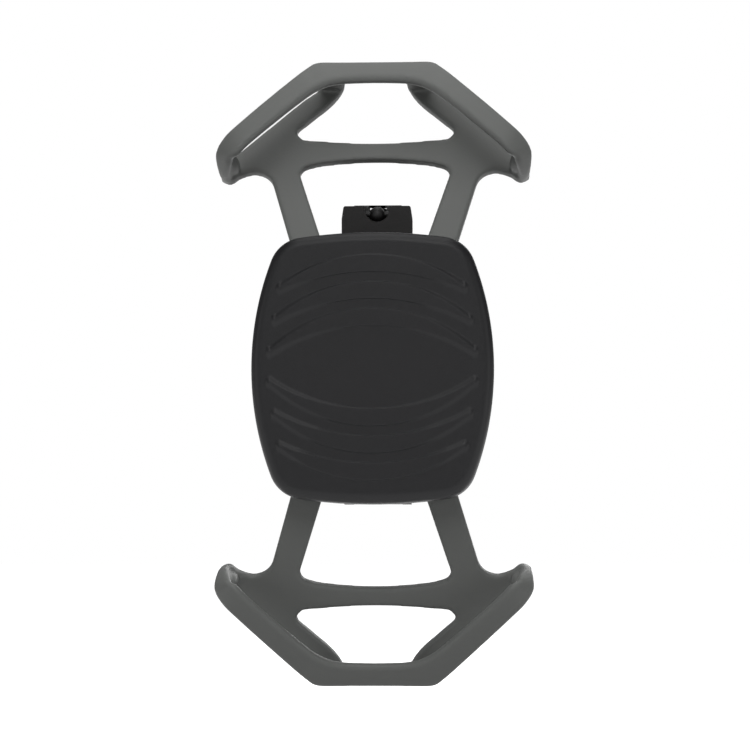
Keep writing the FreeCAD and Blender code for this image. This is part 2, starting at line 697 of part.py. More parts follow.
def band_outline(index, sign):
    """One raised crescent of the pad: two arcs and two rounded ends."""
    top_height = 28.5 - 6.8 * index
    tip_x = 23.0 + 1.3 * index
    tip_height = 19.9 - 8.05 * index
    thickness, tip_radius = 4.5, 1.15

    def through(middle_height, end_height):
        """Centre height and radius of the arc through the middle and both ends."""
        drop = middle_height - end_height
        radius = (tip_x**2 + drop**2) / (2 * drop)
        return middle_height - radius, radius

    outer_centre, outer_radius = through(top_height, tip_height + tip_radius)
    inner_centre, inner_radius = through(top_height - thickness, tip_height - tip_radius)
    right, left = tip_x, -tip_x
    upper, lower = tip_height + tip_radius, tip_height - tip_radius
    edges = [short_arc((0, sign * outer_centre), outer_radius, (left, sign * upper), (right, sign * upper)),
             short_arc((0, sign * inner_centre), inner_radius, (left, sign * lower), (right, sign * lower))]
    for side in (1, -1):
        centre = (side * tip_x, sign * tip_height)
        turn = 0 if side > 0 else 180
        edges.append(arc(centre, tip_radius, turn - 90, turn + 90))
    return edges


def make_grip_pad():
    """The elastomer cap over the whole front, with three crescent bands above and three below."""
    body = add_body("grip_pad")
    add_pad(body, "pad_cap", add_sketch(body, "pad_outline", FRONT, head_outline(0),
                                        "dimensions.cover_shoulder + dimensions.pad_gap"),
            "dimensions.pad_front - dimensions.cover_shoulder - dimensions.pad_gap")
    round_outline(body, "pad_front_edge", size("pad_front"), "dimensions.pad_edge_round")
    seat = head_outline(size("plateau_inset") - size("pad_gap"))
    add_cut(body, "plateau_seat",
            add_sketch(body, "plateau_seat_outline", FRONT, seat, "dimensions.cover_shoulder - 1"),
            "dimensions.cover_front - dimensions.cover_shoulder + dimensions.pad_gap + 1")
    for sign in (1, -1):
        for index in range(int(size("band_count"))):
            name = f"band_{'upper' if sign > 0 else 'lower'}_{index + 1}"
            add_pad(body, name, add_sketch(body, f"{name}_outline", FRONT, band_outline(index, sign),
                                           "dimensions.pad_front - 0.3"),
                    "dimensions.band_front - dimensions.pad_front + 0.3")
    nodes["grip_pad"] = body


def make_housing_screws():
    """Four self-tapping screws that hold the two shells together, put in from the rear."""
    screws = []
    for number, (x, z) in enumerate(boss_places, start=1):
        head = add_cylinder(f"screw_head_{number}", "dimensions.screw_head_radius",
                            "dimensions.screw_head_thickness - 0.2",
                            facing_front(x, size("head_rear") + 0.2, z))
        shank = add_cylinder(f"screw_shank_{number}", "dimensions.screw_radius", "dimensions.screw_length",
                             facing_front(x, size("head_rear") + size("screw_head_thickness") - 0.1, z))
        screw = doc.addObject("Part::Fuse", f"screw_{number}")
        screw.Base, screw.Tool = head, shank
        screws.append(screw)
    group = doc.addObject("Part::Compound", "housing_screws")
    group.Label = "housing_screws"
    group.Links = screws
    nodes["housing_screws"] = group


# ---------------------------------------------------------------- silicone arms

def leg_inner(reach):
    return 14.6 + (reach - 7.3) * 0.342


def leg_outer(reach):
    return 22.6 + (reach - 7.3) * 0.303


def leg_edges(low, high, gap=0.0):
    """The four corners of one leg between two reaches, grown sideways by gap."""
    return [(leg_inner(low) - gap, low), (leg_outer(low) + gap, low),
            (leg_outer(high) + gap, high), (leg_inner(high) - gap, high)]


def tilt_back(body):
    """Leans a flat arm back about the line where it leaves the head."""
    body.Placement = FreeCAD.Placement(
        V(0, -size("arm_foot_depth"), size("arm_foot_height")),
        FreeCAD.Rotation(V(1, 0, 0), -size("arm_tilt")))


def mirror_down(label, source):
    """The lower arm's piece: the upper one's mirror image."""
    twin = doc.addObject("Part::Mirroring", label)
    twin.Label = label
    twin.Source = nodes[source]
    twin.Base = V(0, 0, 0)
    twin.Normal = V(0, 0, 1)
    nodes[label] = twin


def make_arm_legs():
    """Two stretching legs, tilted back, and the upright anchor between them inside the head."""
    label = "upper_arm_legs"
    half_thick = size("arm_thickness") / 2
    bottom, top, half_width = size("anchor_bottom"), size("arm_foot_height"), size("anchor_half_width")
    anchor = add_body(f"{label}_anchor")
    inner = leg_inner(0)
    half = [(half_width, bottom, 1.0), (half_width, top - 1.5, 0), (leg_outer(0), top, 0), (inner, top, 0),
            (inner - 3.0, top - 2.0, 1.5)]
    add_pad(anchor, f"{label}_plate",
            add_sketch(anchor, f"{label}_plate_outline", FRONT,
                       rounded_polygon(mirrored_polygon(half)), "dimensions.arm_rear"),
            "dimensions.arm_thickness")
    holes = [circle((x, z), size("boss_radius") + 0.1) for x, z in boss_places if z > 0]
    add_cut(anchor, f"{label}_holes", add_sketch(anchor, f"{label}_hole_circles", FRONT, holes,
                                                 "dimensions.arm_rear - 1"), "dimensions.arm_thickness + 2")
    parts = [anchor]
    for hand, side in (("right", 1), ("left", -1)):
        leg = add_body(f"{label}_{hand}")
        edges = leg_edges(size("leg_start"), size("leg_split"))
        corners = [(side * x, reach, 0) for x, reach in edges]
        add_pad(leg, f"{label}_{hand}_slab",
                add_sketch(leg, f"{label}_{hand}_outline", FRONT, rounded_polygon(corners), f"{-half_thick}"),
                "dimensions.arm_thickness")
        tilt_back(leg)
        parts.append(leg)
    whole = doc.addObject("Part::MultiFuse", label)
    whole.Label = label
    whole.Shapes = parts
    whole.Refine = True
    nodes[label] = whole


def rim_path():
    """The rim's centre line: up one side, over a diagonal, along the top and down again."""
    angle = math.radians(size("rim_diagonal_angle"))
    distance, side, top = size("rim_diagonal_distance"), size("rim_side"), size("rim_top")
    side_corner = (distance - side * math.cos(angle)) / math.sin(angle)
    top_corner = (distance - top * math.sin(angle)) / math.cos(angle)
    bend = size("rim_bend")
    half = [(side, size("rim_start"), 0), (side, side_corner, bend), (top_corner, top, bend)]
    route = half + [(-x, z, radius) for x, z, radius in reversed(half)]
    return rounded_polygon(route, closed=False)


def rim_section():
    """The band's section at its start: a leaning bar with full-round edges, in (x, y)."""
    long_half = (size("rim_band_width") - size("rim_band_thickness")) / 2
    radius = size("rim_band_thickness") / 2
    lean = size("rim_lean")
    middle = V(size("rim_side"), -size("rim_lift"), 0)
    ahead = V(math.cos(math.radians(lean)), math.sin(math.radians(lean)), 0)
    aside = V(-ahead.y, ahead.x, 0)
    outer, inner = middle + ahead * long_half, middle - ahead * long_half
    return [line(inner + aside * radius, outer + aside * radius),
            line(inner - aside * radius, outer - aside * radius),
            arc(outer, radius, lean - 90, lean + 90), arc(inner, radius, lean + 90, lean + 270)]


def make_corner_hooks():
    """Crossbar, webs, corner walls and the rim that hooks over a phone's two corners."""
    label = "upper_corner_hooks"
    body = add_body(label)
    half_thick = size("arm_thickness") / 2
    split = size("leg_split")
    half = [(16.5, 26.0, 0), (20.2, 25.0, 1.8), (leg_inner(split), split, 0), (leg_outer(split), split, 0),
            (27.0, 23.2, 3.0), (31.2, 24.6, 4.0), (35.5, 23.2, 2.5), (37.4, 20.9, 1.4), (40.1, 22.1, 1.8),
            (40.3, 26.0, 1.2), (36.0, 29.0, 2.0), (18.9, 45.2, 4.0), (15.2, 48.4, 1.2), (14.8, 50.6, 0.6),
            (8.0, 50.6, 0.6), (8.4, 49.0, 0.6), (11.0, 46.0, 3.0), (21.2, 36.4, 2.0), (18.9, 33.7, 1.2),
            (16.5, 33.6, 0)]
    right = rounded_polygon(half, closed=False)
    left = rounded_polygon([(-x, z, radius) for x, z, radius in half], closed=False)
    bowed = []
    for middle, end in ((27.9, 26.0), (32.6, 33.6)):
        drop = middle - end
        radius = (16.5**2 + drop**2) / (2 * abs(drop))
        centre = middle - math.copysign(radius, drop)
        bowed.append(short_arc((0, centre), radius, (-16.5, end), (16.5, end)))
    add_pad(body, f"{label}_web", add_sketch(body, f"{label}_web_outline", FRONT, right + left + bowed,
                                             f"{-half_thick}"), "dimensions.arm_thickness")

    side_wall = [(37.4, 21.4, 1.0), (40.1, 22.3, 1.0), (40.2, 26.0, 1.0), (37.8, 26.6, 1.0)]
    end_wall = [(8.4, 48.0, 0.8), (14.4, 48.0, 0.8), (14.6, 50.0, 0.8), (8.2, 50.0, 0.8)]
    for place, corners in (("side", side_wall), ("end", end_wall)):
        for hand, side in (("right", 1), ("left", -1)):
            outline = rounded_polygon([(side * x, z, radius) for x, z, radius in corners])
            add_pad(body, f"{label}_{place}_wall_{hand}",
                    add_sketch(body, f"{label}_{place}_outline_{hand}", FRONT, outline, "0"),
                    "dimensions.corner_wall_lift")
    doc.recompute()

    spine = add_sketch(body, f"{label}_rim_path", FRONT, rim_path(), "dimensions.rim_lift")
    profile = add_sketch(body, f"{label}_rim_section", TOP, rim_section(), "dimensions.rim_start")
    rim = body.newObject("PartDesign::AdditivePipe", f"{label}_rim")
    rim.Profile = profile
    rim.Spine = spine
    tilt_back(body)
    nodes[label] = body


# ---------------------------------------------------------------- build, check and export

def main():
    half_angle = size("saddle_half_angle")
    make_clamp_base()
    make_liner("saddle_liner", 180 - half_angle, 180 + half_angle, "dimensions.liner_width")
    make_pins()
    make_swivel_parts()
    make_bar_strap()
    make_liner("strap_liner", -half_angle, half_angle, "dimensions.strap_liner_width")
    make_swing_bolt()
    make_washer_and_nut()
    make_rear_housing()
    make_swivel_bushing()
    make_front_cover()
    make_grip_pad()
    make_housing_screws()
    make_arm_legs()
    make_corner_hooks()
    for piece in ("arm_legs", "corner_hooks"):
        mirror_down(f"lower_{piece}", f"upper_{piece}")
    doc.recompute()

    for item in doc.Objects:
        if "Invalid" in item.State or "Error" in item.State:
            raise RuntimeError(f"{item.Label} failed: {item.State}")
    for label, item in nodes.items():
        shape = item.Shape
        if shape.isNull() or not shape.isValid() or shape.Volume <= 0:
            raise RuntimeError(f"{label} has no valid shape")
        if len(label) >= MAX_NAME:
            raise RuntimeError(f"{label} is too long a name")
        box = shape.BoundBox
        print(f"{label:22s} solids {len(shape.Solids)}  volume {shape.Volume:9.1f}  "
              f"x {box.XMin:6.1f} {box.XMax:6.1f}  y {box.YMin:6.1f} {box.YMax:6.1f}  "
              f"z {box.ZMin:6.1f} {box.ZMax:6.1f}")
        shape.exportStep(f"parts/{label}.step")


main()
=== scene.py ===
"""Looks for the handlebar phone mount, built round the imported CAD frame, in metres.

+X runs along the handlebar, +Y to the rear, +Z up, and the pad faces -Y.
Helper functions take millimetres, because the mount is small; MM turns them to metres.
"""
import json
import math

import bmesh
import bpy
from mathutils import Matrix, Vector


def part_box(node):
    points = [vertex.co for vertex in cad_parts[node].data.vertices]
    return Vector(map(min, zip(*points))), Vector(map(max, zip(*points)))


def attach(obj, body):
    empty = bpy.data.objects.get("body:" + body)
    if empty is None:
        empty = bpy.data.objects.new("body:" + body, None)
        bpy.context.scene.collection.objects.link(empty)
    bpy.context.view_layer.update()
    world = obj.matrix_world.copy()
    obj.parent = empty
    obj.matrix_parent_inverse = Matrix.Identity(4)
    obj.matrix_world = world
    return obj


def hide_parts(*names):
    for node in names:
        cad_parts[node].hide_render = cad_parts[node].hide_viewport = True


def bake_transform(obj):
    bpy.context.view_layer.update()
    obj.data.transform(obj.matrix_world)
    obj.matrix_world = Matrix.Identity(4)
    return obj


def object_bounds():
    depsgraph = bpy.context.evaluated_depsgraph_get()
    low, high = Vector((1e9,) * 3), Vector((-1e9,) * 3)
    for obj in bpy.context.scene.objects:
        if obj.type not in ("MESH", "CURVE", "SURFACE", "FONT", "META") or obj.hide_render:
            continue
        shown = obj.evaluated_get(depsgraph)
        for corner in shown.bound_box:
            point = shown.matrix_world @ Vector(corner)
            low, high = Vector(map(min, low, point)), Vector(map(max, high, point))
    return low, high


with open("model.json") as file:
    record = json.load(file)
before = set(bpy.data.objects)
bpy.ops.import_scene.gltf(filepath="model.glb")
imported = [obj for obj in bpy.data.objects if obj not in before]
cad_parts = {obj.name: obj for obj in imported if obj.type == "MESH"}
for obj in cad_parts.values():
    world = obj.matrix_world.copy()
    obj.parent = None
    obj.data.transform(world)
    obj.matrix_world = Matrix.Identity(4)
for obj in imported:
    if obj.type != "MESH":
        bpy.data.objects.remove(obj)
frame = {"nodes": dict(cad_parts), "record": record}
cad_low, cad_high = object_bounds()

MM = 0.001
TURN = 2 * math.pi
WHITE = (1, 1, 1, 1)


# ------------------------------------------------------------------ shapes

def smoothstep(start, end, value):
    """Rises from 0 at start to 1 at end, level at both."""
    t = min(1.0, max(0.0, (value - start) / (end - start)))
    return t * t * (3 - 2 * t)


def rounded(corners, closed=True, steps=8):
    """Points through corners given as (across, up, radius), each corner turned by an arc."""
    count, points = len(corners), []
    for i, (x, y, radius) in enumerate(corners):
        here = Vector((x, y))
        if radius <= 0 or (not closed and i in (0, count - 1)):
            points.append(here)
            continue
        back = (Vector(corners[i - 1][:2]) - here).normalized()
        ahead = (Vector(corners[(i + 1) % count][:2]) - here).normalized()
        half = back.angle(ahead) / 2
        centre = here + (back + ahead).normalized() * (radius / math.sin(half))
        first = here + back * (radius / math.tan(half)) - centre
        sweep = first.angle_signed(here + ahead * (radius / math.tan(half)) - centre)
        for step in range(steps + 1):
            angle = -sweep * step / steps
            turned = Vector((first.x * math.cos(angle) - first.y * math.sin(angle),
                             first.x * math.sin(angle) + first.y * math.cos(angle)))
            points.append(centre + turned)
    return points


def curve_through(points, steps=8):
    """A smooth curve through tuples of any length, by Catmull-Rom."""
    result = []
    for i in range(len(points) - 1):
        a, b = points[max(i - 1, 0)], points[i]
        c, d = points[i + 1], points[min(i + 2, len(points) - 1)]
        for step in range(steps):
            t = step / steps
            result.append(tuple(
                0.5 * (2 * q + (r - p) * t + (2 * p - 5 * q + 4 * r - s) * t * t
                       + (3 * q - p - 3 * r + s) * t**3)
                for p, q, r, s in zip(a, b, c, d)))
    result.append(tuple(points[-1]))
    return result


def add_slab(mesh, outline, near, far):
    """Extrudes an (across, up) outline between two heights above the arm's plane."""
    rings = [[mesh.verts.new((p.x, height, p.y)) for p in outline] for height in (near, far)]
    mesh.faces.new(rings[0])
    mesh.faces.new(list(reversed(rings[1])))
    for i in range(len(outline)):
        j = (i + 1) % len(outline)
        mesh.faces.new([rings[0][j], rings[0][i], rings[1][i], rings[1][j]])


def add_loft(mesh, rings, closed_ends=True):
    """Skins rings of points, all of one length and each a closed loop."""
    made = [[mesh.verts.new(p) for p in ring] for ring in rings]
    for first, second in zip(made, made[1:]):
        for i in range(len(first)):
            j = (i + 1) % len(first)
            mesh.faces.new([first[i], first[j], second[j], second[i]])
    if closed_ends:
        mesh.faces.new(list(reversed(made[0])))
        mesh.faces.new(made[-1])


def new_object(name, mesh, smooth=True):
    """Turns the bmesh into an object in the scene."""
    bmesh.ops.recalc_face_normals(mesh, faces=mesh.faces)
    data = bpy.data.meshes.new(name)
    mesh.to_mesh(data)
    mesh.free()
    if smooth:
        data.polygons.foreach_set("use_smooth", [True] * len(data.polygons))
    made = bpy.data.objects.new(name, data)
    bpy.context.scene.collection.objects.link(made)
    return made


def bake_modifiers(item):
    """Turns the object's modifiers into its mesh."""
    bpy.context.view_layer.update()
    evaluated = item.evaluated_get(bpy.context.evaluated_depsgraph_get())
    data = bpy.data.meshes.new_from_object(evaluated)
    item.modifiers.clear()
    item.data = data


# ------------------------------------------------------------------ materials

SHEEN_ROUGHNESS = 0.6
GRAIN_DETAIL = 3
GRAIN_HEIGHT = 0.00012  # metres
MOTTLE_SIZE, MOTTLE_DETAIL = 45, 4
MIX_FACTOR, MIX_FIRST, MIX_SECOND, MIX_COLOUR = 0, 6, 7, 2  # a colour mix node's sockets


def material(name, colour, roughness, specular=0.5, metallic=0.0, grain=0.0, grain_size=900.0,
             mottle=0.0, sheen=0.0):
    """A Principled material, with a fine moulded grain and a slow change of tone."""
    made = bpy.data.materials.new(name)
    made.use_nodes = True
    nodes, links = made.node_tree.nodes, made.node_tree.links
    shader = nodes["Principled BSDF"]
    shader.inputs["Base Color"].default_value = (*colour, 1)
    shader.inputs["Roughness"].default_value = roughness
    shader.inputs["Specular IOR Level"].default_value = specular
    shader.inputs["Metallic"].default_value = metallic
    shader.inputs["Sheen Weight"].default_value = sheen
    shader.inputs["Sheen Roughness"].default_value = SHEEN_ROUGHNESS
    place = nodes.new("ShaderNodeTexCoord")
    if grain:
        noise = nodes.new("ShaderNodeTexNoise")
        noise.inputs["Scale"].default_value = grain_size
        noise.inputs["Detail"].default_value = GRAIN_DETAIL
        bump = nodes.new("ShaderNodeBump")
        bump.inputs["Strength"].default_value = grain
        bump.inputs["Distance"].default_value = GRAIN_HEIGHT
        links.new(place.outputs["Object"], noise.inputs["Vector"])
        links.new(noise.outputs["Fac"], bump.inputs["Height"])
        links.new(bump.outputs["Normal"], shader.inputs["Normal"])
    if mottle:
        slow = nodes.new("ShaderNodeTexNoise")
        slow.inputs["Scale"].default_value = MOTTLE_SIZE
        slow.inputs["Detail"].default_value = MOTTLE_DETAIL
        ramp = nodes.new("ShaderNodeMapRange")
        ramp.inputs["To Min"].default_value = 1 - mottle
        ramp.inputs["To Max"].default_value = 1 + mottle
        mix = nodes.new("ShaderNodeMix")
        mix.data_type = "RGBA"
        mix.blend_type = "MULTIPLY"
        mix.inputs[MIX_FACTOR].default_value = 1
        mix.inputs[MIX_FIRST].default_value = (*colour, 1)
        links.new(place.outputs["Object"], slow.inputs["Vector"])
        links.new(slow.outputs["Fac"], ramp.inputs["Value"])
        links.new(ramp.outputs["Result"], mix.inputs[MIX_SECOND])
        links.new(mix.outputs[MIX_COLOUR], shader.inputs["Base Color"])
    return made


MATERIALS = {name: material(name, *basics, **extras) for name, basics, extras in (
    # slot, (colour, roughness, specular), the rest
    ("clamp_plastic", ((0.0125, 0.0118, 0.0118), 0.5, 0.2),
     {"grain": 0.35, "grain_size": 2500, "mottle": 0.06}),
    ("strap_plastic", ((0.018, 0.018, 0.018), 0.5, 0.35), {"grain": 0.2, "mottle": 0.05}),
    ("liner_rubber", ((0.020, 0.020, 0.020), 0.8, 0.25), {"grain": 0.3}),
    ("head_plastic", ((0.009, 0.009, 0.009), 0.5, 0.2),
     {"grain": 0.2, "grain_size": 2200, "mottle": 0.05}),
    ("pad_elastomer", ((0.0066, 0.0066, 0.0076), 0.44, 0.24),
     {"grain": 0.25, "grain_size": 2600, "mottle": 0.07}),
    ("silicone", ((0.114, 0.118, 0.113), 0.5, 0.25),
     {"grain": 0.18, "grain_size": 1500, "mottle": 0.05, "sheen": 0.05}),
    ("steel", ((0.55, 0.56, 0.57), 0.3), {"metallic": 1.0, "grain": 0.1}),
    ("black_steel", ((0.016, 0.0155, 0.016), 0.5, 0.35), {"metallic": 0.3, "grain": 0.1}),
    ("spring_steel", ((0.42, 0.42, 0.43), 0.35), {"metallic": 1.0, "grain": 0.1}),
    ("bushing_acetal", ((0.75, 0.75, 0.71), 0.4, 0.5), {}),
    ("brass", ((0.72, 0.53, 0.24), 0.3), {"metallic": 1.0, "grain": 0.1}))}
SLOT_OF = {part["node"]: part["material_slot"] for part in frame["record"]["subparts"]}


TURNED_METALS = ("steel", "spring_steel", "brass")
MOULDED_BEVEL, TURNED_BEVEL = 0.25 * MM, 0.12 * MM
BEVEL_SEGMENTS = 3
SHARPEST_SMOOTH_ANGLE = math.radians(38)
WELD_DISTANCE = 2e-6


def finish_piece(item, slot_name):
    """Gives the piece its only material, the one named for its slot."""
    item.data.materials.clear()
    item.data.materials.append(MATERIALS[slot_name])


def dress_cad_nodes():
    """Every CAD node gets its material, a weld of its corners and a small bevel on its edges."""
    for name, item in frame["nodes"].items():
        finish_piece(item, SLOT_OF[name])
        weld = item.modifiers.new("weld", "WELD")
        weld.merge_threshold = WELD_DISTANCE
        bevel = item.modifiers.new("edge", "BEVEL")
        bevel.width = TURNED_BEVEL if SLOT_OF[name] in TURNED_METALS else MOULDED_BEVEL
        bevel.segments = BEVEL_SEGMENTS
        bevel.limit_method = "ANGLE"
        bevel.angle_limit = SHARPEST_SMOOTH_ANGLE
        bevel.harden_normals = True


# ------------------------------------------------------------------ silicone arms

ARM_TILT = math.radians(19.5)
ARM_FOOT = Vector((0, -27.5, 29.0))
ARM_HALF_THICK = 1.5
LEG_ROOT = -0.4  # reach of the legs' hidden ends, inside the head
LEG_EXIT = 7.3  # reach at which the legs leave the head
LEG_INNER, LEG_INNER_SPREAD = 14.6, 0.342  # across at the exit, and the gain with reach
LEG_OUTER, LEG_OUTER_SPREAD = 22.6, 0.303
CROSSBAR_STATIONS = (0, 3, 6, 9, 12, 15)
CROSSBAR_INNER, CROSSBAR_INNER_BOW = 27.9, 0.0052
CROSSBAR_OUTER, CROSSBAR_OUTER_BOW = 32.6, 0.0038
VOXEL = 0.42
SOFTEN_SHARE, SOFTEN_PASSES = 0.5, 9


def arm_to_row(across, lift, reach, sign):
    """From the tilted arm's own frame to the row frame, in metres."""
    y = ARM_FOOT.y + reach * math.sin(ARM_TILT) - lift * math.cos(ARM_TILT)
    z = ARM_FOOT.z + reach * math.cos(ARM_TILT) + lift * math.sin(ARM_TILT)
    return Vector((across, y, sign * z)) * MM


def leg_inner(reach):
    """Across value of a leg's inner edge at that reach."""
    return LEG_INNER + (reach - LEG_EXIT) * LEG_INNER_SPREAD


def leg_outer(reach):
    """Across value of a leg's outer edge at that reach."""
    return LEG_OUTER + (reach - LEG_EXIT) * LEG_OUTER_SPREAD


def web_outline():
    """Legs, crossbar, wings and the two strips up to the end bar, as one closed outline."""
    crossbar_inner = [(x, CROSSBAR_INNER - CROSSBAR_INNER_BOW * x * x, 0)
                      for x in CROSSBAR_STATIONS]
    crossbar_outer = [(x, CROSSBAR_OUTER + CROSSBAR_OUTER_BOW * x * x, 0)
                      for x in reversed(CROSSBAR_STATIONS)]
    leg = [(20.0, 25.2, 2.4), (leg_inner(LEG_ROOT), LEG_ROOT, 0),
           (leg_outer(LEG_ROOT), LEG_ROOT, 0), (27.0, 23.1, 5.0)]
    wing = [(31.4, 24.8, 5.0), (35.5, 23.2, 4.0), (37.4, 21.3, 2.0), (40.1, 22.6, 1.0),
            (40.1, 26.0, 1.5), (36.2, 29.4, 2.5), (19.2, 45.35, 4.0)]
    strip = [(15.2, 48.4, 1.5), (15.0, 50.4, 0.8), (8.3, 50.4, 0.8), (8.9, 48.9, 0),
             (9.8, 47.2, 0), (11.2, 45.4, 0), (12.8, 43.7, 0)]
    window_foot = [(21.3, 36.1, 1.7), (18.9, 33.7, 1.1)]
    half = crossbar_inner + leg + wing + strip + window_foot + crossbar_outer
    right = rounded(half, closed=False)
    return right[:-1] + [Vector((-p.x, p.y)) for p in reversed(right)][:-1]


# Each row holds the outer rear edge's across, reach and lift and then the inner front edge's,
# from the wing's tip to the middle of the end bar.
RIM_EDGES = [
    (39.3, 23.2, 0.0, 37.4, 22.6, 1.0),
    (39.9, 22.7, 4.0, 37.4, 22.0, 5.0),
    (40.0, 23.1, 8.0, 36.6, 21.6, 10.0),
    (39.8, 24.8, 11.2, 36.1, 21.6, 13.6),
    (37.7, 27.3, 13.8, 34.6, 21.9, 15.5),
    (34.9, 29.9, 14.9, 31.5, 24.9, 16.2),
    (27.45, 37.4, 14.7, 24.3, 31.8, 16.2),
    (20.1, 44.9, 13.8, 17.3, 38.4, 15.6),
    (17.2, 47.8, 13.1, 14.2, 40.9, 15.1),
    (14.8, 49.4, 12.7, 11.1, 42.5, 14.8),
    (9.0, 49.6, 12.5, 7.0, 43.3, 14.5),
    (0.0, 49.6, 12.5, 0.0, 43.5, 14.5),
]
TIP_ROUNDING = ((-1.15, 0.35), (-0.85, 0.7), (-0.4, 0.92))  # step past the tip, share of size
RIM_HALF_THICK = 1.35
RIM_LEAST_HALF_WIDTH = 0.2
RIM_AROUND = 20  # points in one ring
RIM_FLAT_FROM = 0.35  # cosine beyond which a ring's points lie on its rolled edge
END_WALL_SECTIONS = ((0.0, 8.5), (13.0, 6.6))  # lift, and the wall's inner edge there
END_WALL_OUTER = ((14.6, 48.2), (14.8, 50.0))
END_WALL_ROUND = 0.8
SIDE_WALL = ((37.6, 21.9), (39.9, 22.3), (39.9, 25.8), (37.4, 26.4))
SIDE_WALL_ROUND, SIDE_WALL_LIFT = 0.9, 12.0
HEEL_PLACE, HEEL_RADII = (37.5, 4.4, 24.7), (2.7, 5.8, 2.2)


def add_rim(mesh):
    """The band that hooks over the phone: a ribbon between two edge curves, with rolled edges."""
    right = curve_through(RIM_EDGES)
    left = [(-a, b, c, -d, e, f) for a, b, c, d, e, f in reversed(right[:-1])]
    route = right + left
    rings = []

    def ring_at(middle, across, aside, long_half, share):
        ring = []
        for step in range(RIM_AROUND):
            angle = TURN * step / RIM_AROUND
            turn = math.cos(angle)
            reach = math.copysign(long_half, turn) * smoothstep(0, RIM_FLAT_FROM, abs(turn))
            ring.append(middle + (across * (reach + RIM_HALF_THICK * turn)
                                  + aside * RIM_HALF_THICK * math.sin(angle)) * share)
        return ring

    for i, row in enumerate(route):
        outer, inner = Vector((row[0], row[2], row[1])), Vector((row[3], row[5], row[4]))
        before, after = route[max(i - 1, 0)], route[min(i + 1, len(route) - 1)]
        ahead = Vector((after[0] + after[3] - before[0] - before[3],
                        after[2] + after[5] - before[2] - before[5],
                        after[1] + after[4] - before[1] - before[4])).normalized()
        across = outer - inner
        long_half = max(across.length / 2 - RIM_HALF_THICK * 0.8, RIM_LEAST_HALF_WIDTH)
        across.normalize()
        aside = ahead.cross(across).normalized()
        middle = (outer + inner) / 2
        if i == 0:
            rings += [ring_at(middle + ahead * back, across, aside, long_half, share)
                      for back, share in TIP_ROUNDING]
        rings.append(ring_at(middle, across, aside, long_half, 1))
        if i == len(route) - 1:
            rings += [ring_at(middle - ahead * back, across, aside, long_half, share)
                      for back, share in reversed(TIP_ROUNDING)]
    add_loft(mesh, rings)


def make_arm(end, sign):
    """One silicone arm as a single soft moulding: legs, crossbar, wings, corner walls and rim."""
    mesh = bmesh.new()
    add_slab(mesh, web_outline(), -ARM_HALF_THICK, ARM_HALF_THICK)
    add_rim(mesh)
    for side in (1, -1):
        rings = []
        (lower_x, lower_reach), (upper_x, upper_reach) = END_WALL_OUTER
        for lift, inner in END_WALL_SECTIONS:
            wall = [(side * x, reach, END_WALL_ROUND)
                    for x, reach in ((inner, lower_reach), (lower_x, lower_reach),
                                     (upper_x, upper_reach), (inner, upper_reach))]
            rings.append([(p.x, lift, p.y) for p in rounded(wall)])
        add_loft(mesh, rings)
        wall = [(side * x, reach, SIDE_WALL_ROUND) for x, reach in SIDE_WALL]
        add_slab(mesh, rounded(wall), 0.0, SIDE_WALL_LIFT)
        x, lift, reach = HEEL_PLACE
        heel = Matrix.Translation((side * x, lift, reach)) @ Matrix.Diagonal((*HEEL_RADII, 1))
        bmesh.ops.create_uvsphere(mesh, u_segments=24, v_segments=16, radius=1, matrix=heel)
    arm = new_object(f"{end}_arm", mesh)
    remesh = arm.modifiers.new("union", "REMESH")
    remesh.mode = "VOXEL"
    remesh.voxel_size = VOXEL
    soften = arm.modifiers.new("soften", "SMOOTH")
    soften.factor = SOFTEN_SHARE
    soften.iterations = SOFTEN_PASSES
    bake_modifiers(arm)
    for vertex in arm.data.vertices:
        across, lift, reach = vertex.co
        vertex.co = arm_to_row(across, lift, reach, sign)
    if sign > 0:
        arm.data.flip_normals()
    arm.data.polygons.foreach_set("use_smooth", [True] * len(arm.data.polygons))
    finish_piece(arm, "silicone")
    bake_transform(arm)
    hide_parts(f"{end}_arm_legs", f"{end}_corner_hooks")


# ------------------------------------------------------------------ head: cover and pad

HEAD_HALF_WIDTH, HEAD_HALF_HEIGHT = 30.6, 34.3
HEAD_SIDE_RADIUS, HEAD_END_RADIUS, HEAD_CORNER_RADIUS = 77.0, 130.0, 9.0
SIDE_STEPS, CORNER_STEPS, END_STEPS = 40, 14, 40  # points in a quarter of the outline
COVER_PROFILE = (  # (inset, depth) steps round the shell's section
    (0.25, 29.1), (0.0, 29.35), (0.0, 35.25), (0.2, 35.48), (1.25, 35.5), (1.3, 37.15),
    (14, 37.2), (14, 35.2), (2.7, 35.2), (2.7, 29.1), (0.25, 29.1))


